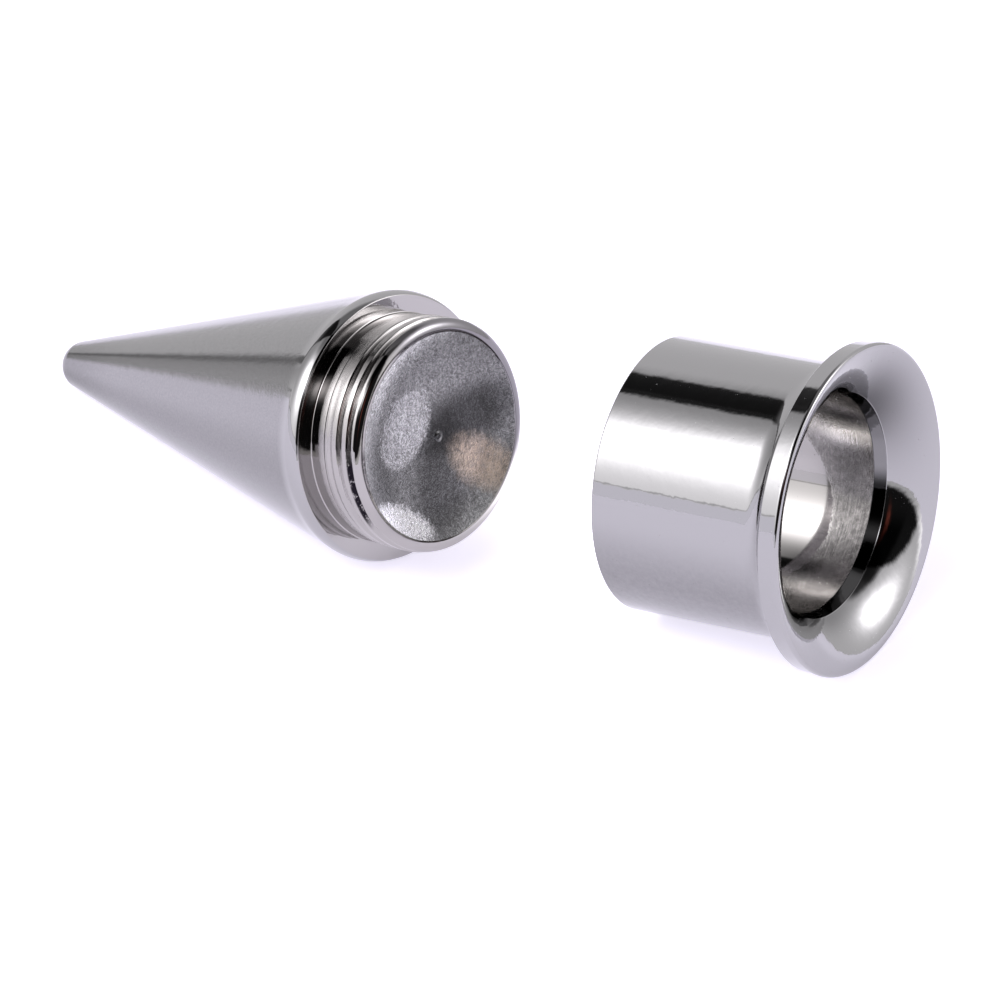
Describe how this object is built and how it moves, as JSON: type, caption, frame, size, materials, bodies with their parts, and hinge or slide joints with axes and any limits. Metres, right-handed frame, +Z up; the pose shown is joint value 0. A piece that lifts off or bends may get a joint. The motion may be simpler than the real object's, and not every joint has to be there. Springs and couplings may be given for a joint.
{
  "type": "ear stretching taper with screw-on tunnel",
  "caption": "Polished steel cone with a threaded stub and dished end face, lying beside the single-flare tube tunnel that screws onto it.",
  "frame": {"origin": "middle of the pair's bounding box, on the surface that both pieces lie on", "axes": "+X along the tunnel towards its flare, +Z up"},
  "size_m": [0.0428, 0.016, 0.0143],
  "materials": {
    "taper_steel": "polished",
    "tunnel_steel": "polished"
  },
  "bodies": {
    "root": {"taper": "taper_steel", "tunnel": "tunnel_steel"}
  },
  "joints": []
}
